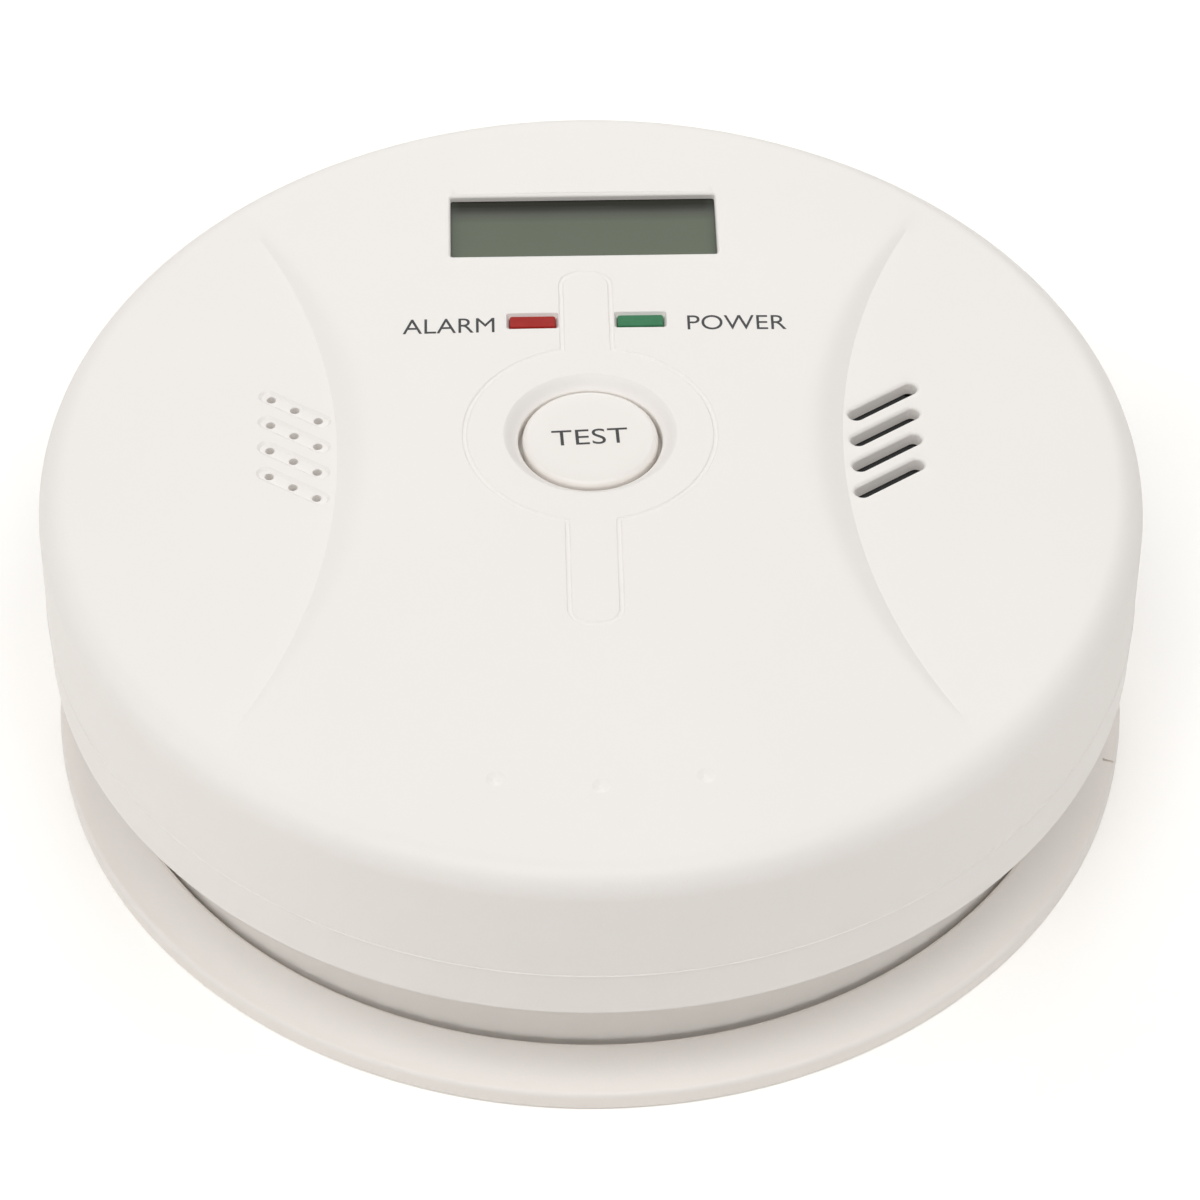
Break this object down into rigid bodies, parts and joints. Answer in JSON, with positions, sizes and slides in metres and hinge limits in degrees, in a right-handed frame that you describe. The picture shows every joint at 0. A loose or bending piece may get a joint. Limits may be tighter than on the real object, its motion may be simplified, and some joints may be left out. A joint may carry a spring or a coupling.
{
  "type": "carbon monoxide alarm",
  "caption": "Round battery-powered gas alarm on a twist-lock mounting plate, with a push button, display window, lamp windows, sounder holes and sensor slots.",
  "frame": {"origin": "centre of the mounting plate's flat back, where it lies on the wall, ceiling or table", "axes": "+Z out of the alarm's face, +Y towards the display window, +X towards the sensor slots"},
  "size_m": [0.106, 0.106, 0.0334],
  "materials": {
    "shell_plastic": "fine matt moulded texture, warm white",
    "plate_plastic": "fine matt moulded texture, slightly greyer white",
    "button_plastic": "smooth satin moulding, warm white",
    "display_glass": "grey-green reflective display behind clear polariser",
    "red_lens": "tinted diffusing lamp epoxy",
    "green_lens": "tinted diffusing lamp epoxy",
    "black_moulding": "black moulded plastic",
    "board_laminate": "green solder resist on glass-epoxy laminate",
    "cell_sleeve": "printed plastic sleeve over a steel can, no markings",
    "nickel_plate": "nickel-plated steel",
    "screw_steel": "zinc-plated steel",
    "red_insulation": "flexible wire insulation",
    "black_insulation": "flexible wire insulation",
    "brass": "thin rolled disc",
    "ceramic": "fired piezo ceramic with a silvered face",
    "foam": "dense dark foam",
    "membrane": "porous white film",
    "chip_epoxy": "black moulded epoxy, no markings",
    "copper_wire": "enamelled copper winding on a ferrite drum",
    "capacitor_sleeve": "shrunk plastic sleeve, no markings",
    "contact_rubber": "striped conductive rubber"
  },
  "bodies": {
    "mounting_plate": {"mounting_plate": "plate_plastic"},
    "alarm": {"rear_housing": "shell_plastic", "front_cover": "shell_plastic", "battery_cell_1": "cell_sleeve", "battery_cell_2": "cell_sleeve", "battery_cell_3": "cell_sleeve", "positive_contact": "nickel_plate", "negative_contact": "nickel_plate", "link_contact_upper": "nickel_plate", "link_contact_lower": "nickel_plate", "battery_lead_red": "red_insulation", "battery_lead_black": "black_insulation", "housing_screw_1": "screw_steel", "housing_screw_2": "screw_steel", "housing_screw_3": "screw_steel", "housing_screw_4": "screw_steel", "board_screw_1": "screw_steel", "board_screw_2": "screw_steel", "board_screw_3": "screw_steel", "board_screw_4": "screw_steel", "circuit_board": "board_laminate", "switch_body": "black_moulding", "sounder_case": "black_moulding", "sounder_diaphragm": "brass", "piezo_element": "ceramic", "sounder_gasket": "foam", "gas_sensor_can": "nickel_plate", "gas_sensor_membrane": "membrane", "gas_sensor_filter": "foam", "controller_chip": "chip_epoxy", "driver_chip": "chip_epoxy", "step_up_coil": "copper_wire", "reservoir_capacitor": "capacitor_sleeve", "display_glass": "display_glass", "display_frame": "black_moulding", "display_strip_upper": "contact_rubber", "display_strip_lower": "contact_rubber", "alarm_lamp": "red_lens", "power_lamp": "green_lens", "alarm_lamp_holder": "black_moulding", "power_lamp_holder": "black_moulding"},
    "test_button": {"switch_plunger": "black_moulding", "test_button": "button_plastic"}
  },
  "joints": [
    {"name": "base_twist", "type": "hinge", "parent": "mounting_plate", "child": "alarm", "pos_m": [0, 0, 0], "axis": [0, 0, 1], "range_deg": [0, 15]},
    {"name": "button_press", "type": "slide", "parent": "alarm", "child": "test_button", "axis": [0, 0, -1], "range_m": [0, 0.0006], "stiffness_N_per_m": 2000}
  ]
}
